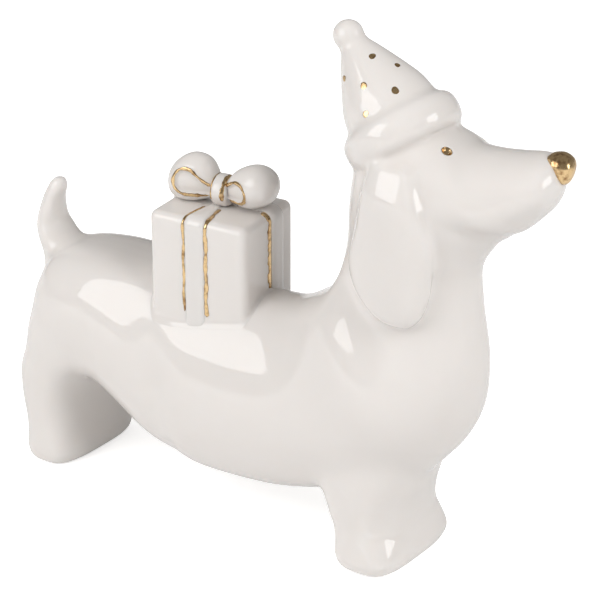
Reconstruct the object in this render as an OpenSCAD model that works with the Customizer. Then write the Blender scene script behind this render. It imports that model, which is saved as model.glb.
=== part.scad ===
// Porcelain dachshund figurine in a party hat, with a gift box tied in ribbon on its back.
// Millimetres. X runs forward to the nose, Z up from the ground, and -Y is the dog's right side.

/* [Stance] */
// Distance between the centres of the rear and the front leg block
leg_spacing = 97; // [84:1:116]
// How far the tail's root reaches behind the rear legs' centre
tail_reach = 10.2; // [9:0.2:13]
// How far the neck's centre lies ahead of the front legs' centre
neck_lead = 5.5; // [3:0.5:8]
// Height of the back above the ground
back_height = 58; // [52:1:64]
// Height of the belly above the ground at its lowest
belly_clearance = 8; // [6:0.5:12]

/* [Trunk] */
// Width across the rump
rump_width = 33; // [28:1:36]
// Width across the haunches
haunch_width = 35.6; // [31:0.2:40]
// Width across the waist
waist_width = 32.6; // [28:0.2:38]
// Width across the chest
chest_width = 35; // [30:1:42]
// Width across the neck
neck_width = 30; // [26:1:34]
// Depth of the neck from nape to throat
neck_depth = 30; // [26:1:34]
// Height of the seat between neck and head above the back, on the neck's centre line
neck_height = 24; // [20:1:32]
// Wall that the slip leaves in the trunk and the head
wall = 3; // [2:0.5:4]
// Diameter of the drain hole under the belly
drain_bore = 6; // [3:0.5:9]
// Diameter of the small air holes under the gift, under the hat and in the soles
air_bore = 3; // [2:0.5:4]

/* [Legs] */
// Length of a leg block's foot along the body
foot_length = 15.5; // [13:0.5:18]
// Width of a leg block across the body
foot_width = 31; // [27:0.5:34]
// Height at which a foot is widest
toe_height = 4; // [3:0.5:6]
// Wall that the slip leaves in the leg blocks
leg_wall = 3; // [2:0.5:4]

/* [Head] */
// Turn of the head to the dog's left in degrees
head_turn = 12; // [0:1:16]
// Distance from the neck's centre to the muzzle's tip
muzzle_reach = 34; // [31:0.5:40]
// Height of the skull's top above the neck seat
skull_rise = 29; // [27:0.5:32]
// Width across the skull
skull_width = 30; // [27:1:34]
// Width across the muzzle
muzzle_width = 19; // [16:0.5:22]
// Height of the nose button
nose_size = 7.8; // [6:0.2:9]
// Diameter of a gold eye
eye_size = 2.4; // [1.8:0.1:3]
// Depth of the dimple that an eye sits in
eye_depth = 0.8; // [0.6:0.1:1.2]
// Angle of the right eye from the top of the head, round its cross section
right_eye_angle = 28; // [26:1:38]
// Angle of the left eye, which is set a little lower by hand
left_eye_angle = 50; // [40:1:54]
// Degrees by which an eye's dimple points aside from straight ahead
eye_aside = 65; // [50:1:80]
// Degrees by which an eye's dimple points up from level
eye_rise = 45; // [35:1:55]

/* [Ears] */
// Length of an ear from its root to its tip
ear_length = 37; // [31:1:42]
// Greatest width of an ear
ear_width = 19.4; // [17:0.2:23]
// Thickness of an ear
ear_thickness = 6; // [5:0.5:8]
// How far an ear's edges wrap round the neck
ear_wrap = 4; // [2:0.5:5]

/* [Tail] */
// Height of the tail above the back
tail_height = 15; // [12:1:20]
// Width of the tail where it leaves the rump
tail_width = 12; // [11.5:0.5:14]

/* [Hat] */
// Outer diameter of the rolled brim
brim_diameter = 28.5; // [26:0.5:31]
// Diameter of the roll that makes the brim
brim_roll = 6.8; // [6:0.2:8]
// Length of the cone from the brim's middle to its tip
cone_length = 22.5; // [18:0.5:27]
// Diameter of the cone where it leaves the brim
cone_base = 22; // [19:0.5:23]
// Diameter of the cone's tip under the pompom
cone_tip = 5.6; // [4:0.2:7]
// Wall of the cone
cone_wall = 2.5; // [2:0.5:3]
// Diameter of the pompom
pompom_size = 7.2; // [6.2:0.2:9]
// Backward lean of the hat in degrees
hat_lean = 37; // [28:0.5:38]
// Tilt of the hat to the dog's left in degrees
hat_tilt = 8; // [0:1:12]
// Diameter of a gold dot
dot_size = 1.6; // [1:0.1:2.4]

/* [Gift] */
// Length of the gift box along the body
gift_length = 26.5; // [22:0.5:30]
// Width of the gift box across the body
gift_width = 23; // [19:0.5:25]
// Height of the gift box's lid above the back
gift_rise = 19.2; // [15:0.2:24]
// Rounding of the gift box's edges
gift_round = 2; // [1:0.5:3]
// Wall of the gift box
gift_wall = 3; // [2:0.5:4]
// Turn of the gift box on the back in degrees
gift_turn = 6.5; // [0:0.5:12]
// Distance of the gift box's centre behind the middle of the legs
gift_back = 1.4; // [-4:0.2:6]
// Width of the ribbon that runs over the gift's near and far sides
ribbon_width = 5.6; // [4:0.2:7]
// Width of the ribbon that runs over the gift's front and rear ends
cross_ribbon_width = 4.6; // [3.6:0.2:6]
// How far the ribbons stand out from the box
ribbon_relief = 0.6; // [0.4:0.1:1]
// Place of the ribbon over the near and far sides, ahead of the gift's middle
ribbon_shift = -0.6; // [-3:0.1:3]
// Place of the ribbon over the ends, towards the dog's left of the gift's middle
cross_ribbon_shift = 3; // [-3:0.1:4]

/* [Bow] */
// Place of the bow ahead of the gift's middle
bow_shift = 0.8; // [-1.5:0.1:1.5]
// Reach of a bow loop from the bow's middle
loop_reach = 14.5; // [12:0.5:16]
// Height of a bow loop above the lid
loop_height = 12; // [11:0.1:15]
// Thickness of a bow loop, front to back
loop_depth = 10; // [8:0.5:12]
// Depth of the blind recess in a loop
loop_recess = 0.8; // [0.5:0.1:1.4]
// Distance of the front loop's recess from the bow's middle
front_recess_reach = 6.2; // [5.2:0.1:7]
// Distance of the rear loop's recess from the bow's middle
rear_recess_reach = 8.7; // [7.5:0.1:9.5]
// Radius of the round end of the front loop's recess
front_recess_radius = 2.6; // [1.8:0.1:2.6]
// Radius of the round end of the rear loop's recess
rear_recess_radius = 3.2; // [2.2:0.1:3.4]
// Width of the knot
knot_width = 4.6; // [4:0.2:5.4]
// Height of the knot above the lid
knot_height = 8.6; // [7.6:0.2:10]

/* [Gold] */
// Width of a painted gold line
line_width = 0.8; // [0.5:0.1:1.2]
// Thickness that stands in for the gold film
film = 0.15; // [0.1:0.05:0.3]

/* [Hidden] */
$fn = 48;

// Places along the body, with the middle of the whole length at X = 0
nose_reach = (muzzle_reach + 0.3) * cos(head_turn) + 2;
overall_length = tail_reach + leg_spacing + neck_lead + nose_reach;
rear_x = tail_reach - overall_length / 2;
front_x = rear_x + leg_spacing;
neck_x = front_x + neck_lead;
middle_x = (rear_x + front_x) / 2;
nape_x = neck_x - neck_depth / 2;
throat_x = neck_x + neck_depth / 2;
muzzle_x = neck_x + muzzle_reach;

// Half sizes and levels that the cross sections use
rump_half = rump_width / 2;
haunch_half = haunch_width / 2;
waist_half = waist_width / 2;
chest_half = chest_width / 2;
neck_half = neck_width / 2;
skull_half = skull_width / 2;
muzzle_half = muzzle_width / 2;
foot_half = foot_length / 2;
stance_half = foot_width / 2;
tail_half = tail_width / 2;
ear_half = ear_width / 2;
ear_thick = ear_thickness / 2;
loop_half = loop_height / 2;
knot_half = knot_height / 2;
seat_z = back_height + neck_height;
skull_z = seat_z + skull_rise;
tail_top = back_height + tail_height;

// Cross sections from rump to muzzle tip: back x, back z, belly x, belly z, half width, turn round the neck
body_rows = [
  [rear_x - 7, back_height - 13, rear_x - 7.6, back_height - 17, 3, 0],
  [rear_x - 5.4, back_height - 7.4, rear_x - 7.3, back_height - 24, rump_half - 7, 0],
  [rear_x - 1.6, back_height - 2.3, rear_x - 3.6, back_height - 31, rump_half - 3, 0],
  [rear_x + 3.5, back_height - 0.2, rear_x + 4, belly_clearance + 15, rump_half, 0],
  [rear_x + 15, back_height + 1.2, rear_x + 16, belly_clearance + 13.4, haunch_half, 0],
  [middle_x - 20, back_height + 0.8, middle_x - 18, belly_clearance + 4.6, haunch_half - 0.7, 0],
  [middle_x - 2, back_height - 0.2, middle_x, belly_clearance + 0.7, waist_half + 0.3, 0],
  [middle_x + 14, back_height + 0.2, middle_x + 18, belly_clearance + 1.5, waist_half, 0],
  [front_x - 27, back_height + 1.2, front_x - 14, belly_clearance + 5, waist_half + 0.9, 0],
  [front_x - 20.8, back_height + 4.5, front_x + 2, belly_clearance + 10, chest_half - 0.4, 0],
  [nape_x - 5.8, back_height + 9.2, front_x + 15.2, belly_clearance + 21, chest_half, 0],
  [nape_x - 3.4, back_height + 14, throat_x + 1.4, belly_clearance + 33, chest_half - 0.5, 0],
  [nape_x - 1.9, seat_z - 4.5, throat_x + 1.9, belly_clearance + 45, neck_half + 1, 0],
  [nape_x - 1.2, seat_z + 1, throat_x + 0.8, seat_z - 17, neck_half + 0.25, 0.3 * head_turn],
  [nape_x - 0.6, seat_z + 7, throat_x, seat_z - 7, neck_half, 0.7 * head_turn],
  [nape_x + 0.2, seat_z + 13, throat_x + 0.6, seat_z - 2.7, neck_half, head_turn],
  [nape_x + 1.6, seat_z + 20, throat_x + 2, seat_z + 0.6, skull_half, head_turn],
  [nape_x + 6.5, skull_z - 3, throat_x + 3.6, seat_z + 2.6, skull_half, head_turn],
  [nape_x + 14, skull_z - 0.2, throat_x + 5.5, seat_z + 4, skull_half - 0.4, head_turn],
  [nape_x + 22, skull_z - 2.6, throat_x + 7.5, seat_z + 4.4, skull_half - 1.2, head_turn],
  [nape_x + 27, seat_z + 23.6, throat_x + 9.4, seat_z + 5.4, muzzle_half + 3.5, head_turn],
  [muzzle_x - 16.4, seat_z + 23.6, muzzle_x - 7.4, seat_z + 7.3, muzzle_half + 2.1, head_turn],
  [muzzle_x - 11, seat_z + 24.1, muzzle_x - 4.2, seat_z + 10.6, muzzle_half + 0.5, head_turn],
  [muzzle_x - 5.4, seat_z + 24.7, muzzle_x - 1.4, seat_z + 14.2, muzzle_half - 1.8, head_turn],
  [muzzle_x - 2, seat_z + 24, muzzle_x, seat_z + 18.6, muzzle_half - 5.6, head_turn]
];
seat_row = 14;
tip_row = len(body_rows) - 1;

// Stretches of those cross sections that the pieces of the body take, and that others are cut to sit on
trunk_span = [0, seat_row];
trunk_cavity_span = [2, seat_row + 1];
head_span = [seat_row, tip_row];
head_cavity_span = [seat_row - 1, seat_row + 7];
rear_leg_span = [0, 6];
tail_span = [0, 5];
gift_span = [4, 9];
front_leg_span = [7, 12];
ear_span = [11, 20];
brim_span = [seat_row + 1, seat_row + 7];
nose_span = [tip_row - 3, tip_row];

// Leg blocks from the ground up: shift ahead of the block's centre, height, half length, half width
front_leg_rows = [
  [-0.6, 0, foot_half - 1.6, stance_half - 2.2],
  [-0.6, 0.8, foot_half - 0.1, stance_half - 0.7],
  [-0.4, toe_height, foot_half + 1.2, stance_half],
  [-1.1, toe_height + 3.5, foot_half + 0.8, stance_half - 0.2],
  [-2, toe_height + 7, foot_half + 0.8, stance_half - 0.6],
  [-3, toe_height + 12, foot_half + 2.2, stance_half - 0.5],
  [-2.4, toe_height + 18, foot_half + 3.9, stance_half - 1],
  [0, toe_height + 26, foot_half + 3.5, stance_half - 3]
];
rear_leg_rows = [
  [0, 0, foot_half - 2.2, stance_half - 2.2],
  [0, 0.8, foot_half - 0.7, stance_half - 0.7],
  [-0.3, toe_height, foot_half + 0.4, stance_half],
  [-0.5, toe_height + 6, foot_half + 0.1, stance_half - 0.1],
  [-0.9, toe_height + 14, foot_half + 0.5, stance_half],
  [0.6, toe_height + 21, foot_half + 1.8, stance_half + 0.5],
  [4, toe_height + 28, foot_half + 4.8, stance_half + 0.6],
  [7, toe_height + 38, foot_half + 5, stance_half - 3]
];

// Tail from rump to tip: rear x, rear z, front x, front z, half width
tail_rows = [
  [rear_x - 7.4, back_height - 10, rear_x + 3, back_height - 6, tail_half],
  [rear_x - 8.8, back_height - 4, rear_x + 0.2, back_height, tail_half],
  [rear_x - tail_reach, tail_top - 13.5, rear_x - 2.7, tail_top - 11.4, tail_half - 1],
  [rear_x - 8.7, tail_top - 7.2, rear_x - 3.6, tail_top - 6.3, tail_half - 2.4],
  [rear_x - 6, tail_top - 2.1, rear_x - 2.7, tail_top - 2.7, tail_half - 4],
  [rear_x - 3.7, tail_top, rear_x - 2.4, tail_top - 0.5, tail_half - 5.3]
];

// Nose button from the muzzle outward: top x, top z, bottom x, bottom z, half width
nose_z = seat_z + 18;
nose_rows = [
  [muzzle_x - 4.6, nose_z + nose_size - 1, muzzle_x - 1.8, nose_z + 0.4, 2.6],
  [muzzle_x - 3, nose_z + nose_size - 0.1, muzzle_x - 0.3, nose_z - 0.2, 3.5],
  [muzzle_x - 0.6, nose_z + nose_size, muzzle_x + 0.9, nose_z + 0.8, 3.6],
  [muzzle_x + 1.2, nose_z + nose_size - 1, muzzle_x + 1.6, nose_z + 2.8, 2.6],
  [muzzle_x + 2, nose_z + nose_size - 2.6, muzzle_x + 2.1, nose_z + 4.2, 1]
];

// Right ear from root to tip: place ahead of the neck's centre, y, drop, half width, half thickness
ear_root = seat_z + 22;
ear_rows = [
  [-1, -13.2, 0, ear_half - 4.2, ear_thick - 1.2],
  [-0.8, -14.8, 0.18 * ear_length, ear_half - 2.3, ear_thick],
  [-0.8, -15.4, 0.43 * ear_length, ear_half - 0.6, ear_thick],
  [-1.1, -15.6, 0.65 * ear_length, ear_half, ear_thick],
  [-0.1, -15.6, 0.81 * ear_length, ear_half - 1.2, ear_thick],
  [1.6, -15.4, 0.93 * ear_length, ear_half - 4.4, ear_thick - 0.6],
  [2.6, -15.2, ear_length, ear_half - 7.8, ear_thick - 1.8]
];

// Hat's place on the skull, radius of the brim's middle line and height of the pompom's middle
hat_x = neck_x - 3.4;
hat_z = skull_z - 4.6;
brim_radius = (brim_diameter - brim_roll) / 2;
pompom_z = cone_length + 0.32 * pompom_size;

// Cone of the hat from the brim up: radius, height
cone_points = [
  [cone_base / 2, 0],
  [cone_base / 2, 0.18 * cone_length],
  [cone_base / 2 - 0.8, 0.4 * cone_length],
  [cone_tip / 2 + 3.6, 0.7 * cone_length],
  [cone_tip / 2, cone_length]
];

// Gold dots on the cone: share of its length and angle from the front
dot_places = [
  [0.78, -36], [0.58, -10], [0.72, -126], [0.55, -79], [0.36, -43], [0.3, -90], [0.34, -142],
  [0.82, 80], [0.62, 48], [0.66, 155], [0.5, 100], [0.34, 14], [0.38, 64], [0.36, 165]
];

// Eye's place on the head: row of cross sections, and share of the way to the next row
eye_row = 19;
eye_share = 0.2;

// Gift's place on the back, and the level from which it is drawn before the back cuts it off
gift_x = middle_x - gift_back;
lid_z = back_height + gift_rise;
gift_floor = back_height - 16;

// Bow loop from the knot outward: shares of reach, half height and half depth, and height of its middle
loop_rows = [
  for (r = [
    [0.08, 0.34, 0.4, knot_half], [0.25, 0.7, 0.74, knot_half + 1.4], [0.5, 0.98, 0.96, loop_half - 0.2],
    [0.72, 0.94, 1, loop_half - 0.6], [0.9, 0.7, 0.76, loop_half - 1], [1, 0.22, 0.25, loop_half - 1.2]
  ]) let (out = r[0] * loop_reach, rise = r[1] * loop_half)
    [out, r[3] + rise, out, r[3] - rise, r[2] * loop_depth / 2]
];
knot_rows = [
  for (r = [[-1, 0.84], [-0.6, 0.97], [0, 1], [0.6, 0.97], [1, 0.84]])
    let (out = r[0] * knot_width / 2, rise = r[1] * knot_half)
      [out, knot_half + rise, out, knot_half - rise, rise]
];

// Teardrop recesses in the loops: their point beside the knot, their round ends and the ends' radii
drop_point = [knot_width / 2 + 0.3, knot_half + 1.2];
front_drop = [front_recess_reach, loop_half - 0.2];
rear_drop = [rear_recess_reach, loop_half + 0.3];

// Facets around the pieces, steps between cross sections, bluntness of a foot, step that measures a slope
body_sides = 24;
cavity_sides = 16;
small_sides = 16;
brim_sides = 36;
roll_sides = 12;
steps = 2;
foot_power = 0.62;
slope_step = 0.05;

function lerp(a, b, t) = a + (b - a) * t;

// Smooth curve through rows b and c, led by the rows on either side
function curve(a, b, c, d, t) =
  b + ((c - a) * t + (2 * a - 5 * b + 4 * c - d) * t * t + (3 * b - a - 3 * c + d) * t * t * t) / 2;

function between(rows, i, t) =
  curve(rows[max(i - 1, 0)], rows[i], rows[i + 1], rows[min(i + 2, len(rows) - 1)], t);

// Rows over a stretch from one index to another, with more rows curved between them
function refined(rows, span) = [
  for (i = [span[0]:span[1] - 1]) for (k = [0:steps - 1]) between(rows, i, k / steps),
  rows[span[1]]
];

function all_refined(rows) = refined(rows, [0, len(rows) - 1]);

// Point of an upright oval section at an angle from its first end
function oval_point(row, angle) = [
  lerp(row[2], row[0], (1 + cos(angle)) / 2),
  row[4] * sin(angle),
  lerp(row[3], row[1], (1 + cos(angle)) / 2)
];

function oval(row, sides) = [for (k = [0:sides - 1]) oval_point(row, 360 * k / sides)];

// A point swung round the neck's centre line
function swung(p, angle) = [
  neck_x + (p[0] - neck_x) * cos(angle) - p[1] * sin(angle),
  (p[0] - neck_x) * sin(angle) + p[1] * cos(angle),
  p[2]
];

function body_ring(row, sides) = [for (p = oval(row, sides)) swung(p, row[5])];

// An oval section drawn in by a wall
function drawn_in(row, depth) = let (
  share = depth / norm([row[0] - row[2], row[1] - row[3]])
) [
  lerp(row[0], row[2], share), lerp(row[1], row[3], share),
  lerp(row[2], row[0], share), lerp(row[3], row[1], share),
  row[4] - depth, row[5]
];

function blunt(v, power) = sign(v) * pow(abs(v), power);

// Blunt-cornered ring around a leg block at one height
function foot_ring(x, row) = [
  for (k = [0:body_sides - 1]) [
    x + row[0] + row[2] * blunt(cos(360 * k / body_sides), foot_power),
    -row[3] * blunt(sin(360 * k / body_sides), foot_power),
    row[1]
  ]
];

// Ring around the right ear at one height, its edges wrapped towards the neck
function ear_ring(row) = [
  for (k = [0:small_sides - 1]) let (
    c = cos(360 * k / small_sides),
    s = sin(360 * k / small_sides)
  ) [
    neck_x + row[0] + row[3] * c,
    row[1] + row[4] * s + ear_wrap * pow(row[3] * c / ear_half, 2),
    ear_root - row[2]
  ]
];

// Skin over rings that all have the same number of points, capped, or closed from the last to the first
module loft(rings, closed = false) {
  sides = len(rings[0]);
  count = len(rings);
  walls = [
    for (i = [0:count - (closed ? 1 : 2)]) for (k = [0:sides - 1]) for (half = [0, 1]) let (
      next = (i + 1) % count * sides,
      a = i * sides + k,
      b = i * sides + (k + 1) % sides,
      c = next + k,
      d = next + (k + 1) % sides
    ) half == 0 ? [a, b, c] : [b, d, c]
  ];
  caps = [[for (k = [sides - 1:-1:0]) k], [for (k = [0:sides - 1]) (count - 1) * sides + k]];
  polyhedron([for (r = rings) each r], closed ? walls : concat(walls, caps), convexity = 6);
}

module body_skin(span) {
  loft([for (row = refined(body_rows, span)) body_ring(row, body_sides)]);
}

module body_cavity(span) {
  rows = [for (row = body_rows) drawn_in(row, wall)];
  loft([for (row = refined(rows, span)) body_ring(row, cavity_sides)]);
}

module trunk() {
  color("white") difference() {
    body_skin(trunk_span);
    body_cavity(trunk_cavity_span);
    translate([middle_x, 0, 0]) cylinder(d = drain_bore, h = belly_clearance + 2 * wall);
    translate([gift_x, 0, back_height - 2 * wall]) cylinder(d = air_bore, h = 4 * wall);
  }
}

// Cup-shaped leg block, its rim cut to the body's underside
module leg_block(x, rows, span) {
  inner = [for (row = rows) [row[0], row[1] + leg_wall, row[2] - leg_wall, row[3] - leg_wall]];
  difference() {
    loft([for (row = all_refined(rows)) foot_ring(x, row)]);
    loft([for (row = all_refined(inner)) foot_ring(x, row)]);
    body_skin(span);
    translate([x, 0, 0]) cylinder(d = air_bore, h = 3 * leg_wall, center = true);
  }
}

module front_legs() {
  color("white") leg_block(front_x, front_leg_rows, front_leg_span);
}

module rear_legs() {
  color("white") leg_block(rear_x, rear_leg_rows, rear_leg_span);
}

module tail() {
  color("white") difference() {
    loft([for (row = all_refined(tail_rows)) oval(row, small_sides)]);
    body_skin(tail_span);
  }
}

// Turns children with the head round the neck's centre line
module turned() {
  translate([neck_x, 0, 0]) rotate([0, 0, head_turn]) translate([-neck_x, 0, 0]) children();
}

// Stands children on the skull with Z along the hat's axis
module on_hat() {
  turned() translate([hat_x, 0, hat_z]) rotate([-hat_tilt, -hat_lean, 0]) children();
}

// Stands children on the head where an eye goes, with Z along the dimple's axis
module at_eye(side) {
  angle = side < 0 ? -right_eye_angle : left_eye_angle;
  p = oval_point(between(body_rows, eye_row, eye_share), angle);
  turned() translate(p) rotate([0, 90 - eye_rise, side * eye_aside]) children();
}

module head() {
  color("white") difference() {
    body_skin(head_span);
    body_cavity(head_cavity_span);
    on_hat() cylinder(d = air_bore, h = 4 * wall, center = true);
    for (side = [-1, 1])
      at_eye(side) translate([0, 0, -eye_depth]) cylinder(d = eye_size, h = 3 * eye_depth);
  }
}

module nose() {
  color("gold") difference() {
    turned() loft([for (row = all_refined(nose_rows)) oval(row, small_sides)]);
    body_skin(nose_span);
  }
}

module eye(side) {
  color("gold") at_eye(side) translate([0, 0, -eye_depth]) cylinder(d = eye_size, h = eye_depth / 2);
}

module eye_right() {
  eye(-1);
}

module eye_left() {
  eye(1);
}

module ear(side) {
  color("white") difference() {
    turned() scale([1, -side, 1]) loft([for (row = all_refined(ear_rows)) ear_ring(row)]);
    body_skin(ear_span);
    on_hat() brim_skin();
  }
}

module ear_right() {
  ear(-1);
}

module ear_left() {
  ear(1);
}

module brim_profile() {
  translate([brim_radius, 0]) circle(d = brim_roll);
}

// Ring of the brim's roll at an angle round the hat
function brim_ring(angle) = [
  for (k = [0:roll_sides - 1]) let (
    out = brim_radius + brim_roll / 2 * cos(360 * k / roll_sides)
  ) [out * cos(angle), out * sin(angle), brim_roll / 2 * sin(360 * k / roll_sides)]
];

module cone_profile(grow) {
  polygon(concat([[0, 0]], [for (p = cone_points) [p[0] + grow, p[1]]], [[0, cone_length]]));
}

module brim_skin() {
  loft([for (i = [0:brim_sides - 1]) brim_ring(360 * i / brim_sides)], closed = true);
}

module hat_brim() {
  color("white") difference() {
    on_hat() brim_skin();
    body_skin(brim_span);
  }
}

module hat_cone() {
  color("white") difference() {
    on_hat() rotate_extrude() difference() {
      cone_profile(0);
      translate([-cone_wall, -cone_wall]) cone_profile(0);
      translate([-cone_length, -1]) square([cone_length, 2 * cone_length]);
      brim_profile();
    }
    body_skin(brim_span);
  }
}

module hat_pompom() {
  color("white") on_hat() rotate_extrude() difference() {
    translate([0, pompom_z]) circle(d = pompom_size);
    translate([-pompom_size, 0]) square([pompom_size, 2 * cone_length]);
    cone_profile(0);
  }
}

// Radius of the cone's outside, and its slope from upright, at a share of its length
function cone_radius(share) = lookup(share * cone_length, [for (p = cone_points) [p[1], p[0]]]);

function cone_slope(share) =
  atan2(cone_radius(share - slope_step) - cone_radius(share + slope_step), 2 * slope_step * cone_length);

module hat_dots() {
  color("gold") on_hat() intersection() {
    rotate_extrude() difference() {
      cone_profile(film);
      cone_profile(0);
    }
    union() {
      for (dot = dot_places)
        rotate([0, 0, dot[1]])
          translate([cone_radius(dot[0]), 0, dot[0] * cone_length])
            rotate([0, 90 - cone_slope(dot[0]), 0])
              cylinder(d = dot_size, h = dot_size, center = true);
    }
  }
}

// Places children over the gift's middle on the back, level with the ground
module on_gift() {
  translate([gift_x, 0, 0]) rotate([0, 0, gift_turn]) children();
}

// Places children on the gift's lid, over the bow's middle
module on_lid() {
  on_gift() translate([bow_shift, 0, lid_z]) children();
}

module rounded_rectangle(length, width, r) {
  square([length - 2 * r, width], center = true);
  square([length, width - 2 * r], center = true);
  for (x = [-1, 1]) for (y = [-1, 1]) translate([x * (length / 2 - r), y * (width / 2 - r)]) circle(r);
}

// The gift's outside, grown evenly, from inside the back up to its lid
module gift_shape(grow) {
  r = gift_round + grow;
  length = gift_length + 2 * grow;
  width = gift_width + 2 * grow;
  height = lid_z + grow - gift_floor;
  intersection() {
    translate([0, 0, gift_floor]) linear_extrude(height) rounded_rectangle(length, width, r);
    translate([0, width, gift_floor]) rotate([90, 0, 0]) linear_extrude(2 * width)
      rounded_rectangle(length, 2 * height, r);
    translate([-length, 0, gift_floor]) rotate([90, 0, 90]) linear_extrude(2 * length)
      rounded_rectangle(width, 2 * height, r);
  }
}

// Part of the gift's grown outside between two planes across its length
module band_across(grow, middle, width) {
  intersection() {
    gift_shape(grow);
    translate([middle - width / 2, -gift_width, 0]) cube([width, 2 * gift_width, 2 * lid_z]);
  }
}

// Part of the gift's grown outside between two planes along its length
module band_along(grow, middle, width) {
  intersection() {
    gift_shape(grow);
    translate([-gift_length, middle - width / 2, 0]) cube([2 * gift_length, width, 2 * lid_z]);
  }
}

module gift_box() {
  color("white") difference() {
    on_gift() difference() {
      gift_shape(0);
      translate([0, 0, gift_floor]) linear_extrude(lid_z - gift_wall - gift_floor)
        square([gift_length - 2 * gift_wall, gift_width - 2 * gift_wall], center = true);
    }
    body_skin(gift_span);
  }
}

module ribbon_lengthwise() {
  color("white") difference() {
    on_gift() difference() {
      band_across(ribbon_relief, ribbon_shift, ribbon_width);
      gift_shape(0);
    }
    body_skin(gift_span);
  }
}

module ribbon_crosswise() {
  color("white") difference() {
    on_gift() difference() {
      band_along(ribbon_relief, cross_ribbon_shift, cross_ribbon_width);
      gift_shape(0);
      band_across(ribbon_relief, ribbon_shift, ribbon_width);
    }
    body_skin(gift_span);
  }
}

// The gift and both its ribbons, which the bow is cut to sit on
module wrapped_gift() {
  gift_shape(0);
  band_across(ribbon_relief, ribbon_shift, ribbon_width);
  band_along(ribbon_relief, cross_ribbon_shift, cross_ribbon_width);
}

module loop_skin(grow) {
  loft([for (row = all_refined(loop_rows)) oval(drawn_in(row, -grow), small_sides)]);
}

module knot_skin(grow) {
  loft([for (row = all_refined(knot_rows)) oval(drawn_in(row, -grow), small_sides)]);
}

// Outline of the recess in a loop, grown evenly, seen from the dog's right
module teardrop(centre, radius, grow) {
  span = centre - drop_point;
  spread = asin(radius / norm(span));
  translate(centre) rotate(atan2(span[1], span[0])) {
    circle(radius + grow);
    polygon([
      [-(radius + grow) / sin(spread), 0],
      for (side = [-1, 1]) (radius + grow) * [-sin(spread), side * cos(spread)]
    ]);
  }
}

// The recess's outline through the whole thickness of the front loop (side 1) or the rear loop (side -1)
module loop_prism(side, grow) {
  rotate([90, 0, 0]) linear_extrude(2 * loop_depth, center = true) {
    if (side > 0) teardrop(front_drop, front_recess_radius, grow);
    else teardrop(rear_drop, rear_recess_radius, grow);
  }
}

module bow_loop(side) {
  color("white") difference() {
    on_lid() scale([side, 1, 1]) union() {
      difference() {
        loop_skin(0);
        loop_prism(side, 0);
      }
      loop_skin(-loop_recess);
    }
    on_lid() knot_skin(0);
    on_gift() wrapped_gift();
  }
}

module bow_loop_front() {
  bow_loop(1);
}

module bow_loop_rear() {
  bow_loop(-1);
}

module bow_knot() {
  color("white") difference() {
    on_lid() knot_skin(0);
    on_gift() wrapped_gift();
  }
}

module ribbon_lines() {
  color("gold") difference() {
    on_gift() {
      difference() {
        for (edge = [-1, 1])
          band_across(ribbon_relief + film, ribbon_shift + edge * ribbon_width / 2, line_width);
        wrapped_gift();
      }
      difference() {
        for (edge = [-1, 1])
          band_along(ribbon_relief + film, cross_ribbon_shift + edge * cross_ribbon_width / 2, line_width);
        wrapped_gift();
        translate([0, 0, lid_z]) cube([gift_length - 2 * gift_round, gift_width, loop_height], center = true);
      }
    }
    on_lid() {
      knot_skin(film);
      for (side = [-1, 1]) scale([side, 1, 1]) loop_skin(0);
    }
    body_skin(gift_span);
  }
}

// Gold line round the recess on both faces of a loop
module loop_line(side) {
  difference() {
    intersection() {
      loop_skin(film);
      difference() {
        loop_prism(side, line_width);
        loop_prism(side, 0);
      }
    }
    loop_skin(0);
    knot_skin(film);
  }
}

// Gold line along one edge of the knot, over the part of it that the loops leave bare
module knot_line(edge) {
  difference() {
    intersection() {
      knot_skin(film);
      translate([edge * (knot_width - line_width) / 2, 0, knot_half])
        cube([line_width, 2 * knot_height, 2 * knot_height], center = true);
    }
    knot_skin(0);
    scale([edge, 1, 1]) loop_skin(0);
  }
}

module bow_lines() {
  color("gold") difference() {
    on_lid() {
      for (side = [-1, 1]) {
        scale([side, 1, 1]) loop_line(side);
        knot_line(side);
      }
    }
    on_gift() wrapped_gift();
  }
}

trunk();
front_legs();
rear_legs();
tail();
head();
nose();
eye_right();
eye_left();
ear_right();
ear_left();
hat_brim();
hat_cone();
hat_pompom();
hat_dots();
gift_box();
ribbon_lengthwise();
ribbon_crosswise();
bow_loop_front();
bow_loop_rear();
bow_knot();
ribbon_lines();
bow_lines();
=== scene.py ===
from math import acos, atan2, copysign, cos, exp, pi, radians, sin, sqrt

import bmesh
import bpy
from mathutils import Matrix, Vector, noise
from mathutils.bvhtree import BVHTree


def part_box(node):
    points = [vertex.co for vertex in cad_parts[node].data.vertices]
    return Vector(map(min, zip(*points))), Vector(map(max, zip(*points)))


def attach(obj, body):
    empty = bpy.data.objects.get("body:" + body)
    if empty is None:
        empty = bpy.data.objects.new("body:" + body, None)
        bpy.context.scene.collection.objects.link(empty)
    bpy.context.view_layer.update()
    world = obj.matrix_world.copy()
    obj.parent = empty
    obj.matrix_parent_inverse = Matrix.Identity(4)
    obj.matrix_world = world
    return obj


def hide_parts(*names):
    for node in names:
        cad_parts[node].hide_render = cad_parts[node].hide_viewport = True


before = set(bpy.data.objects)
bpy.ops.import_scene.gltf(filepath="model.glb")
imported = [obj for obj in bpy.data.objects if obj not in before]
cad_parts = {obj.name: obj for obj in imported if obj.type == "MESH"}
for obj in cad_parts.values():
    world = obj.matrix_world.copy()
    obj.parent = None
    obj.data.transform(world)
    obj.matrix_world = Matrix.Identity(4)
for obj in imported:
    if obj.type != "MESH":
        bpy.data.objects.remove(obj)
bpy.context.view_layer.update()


# Body and head: two hollow slip castings in white porcelain, luted together at the neck. They are drawn
# as one run of oval sections from the rump to the muzzle, in millimetres, with X forward and Z up.
# The sections of the head turn with it about the neck.
mm = 0.001
tail_reach = 10.2
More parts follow.
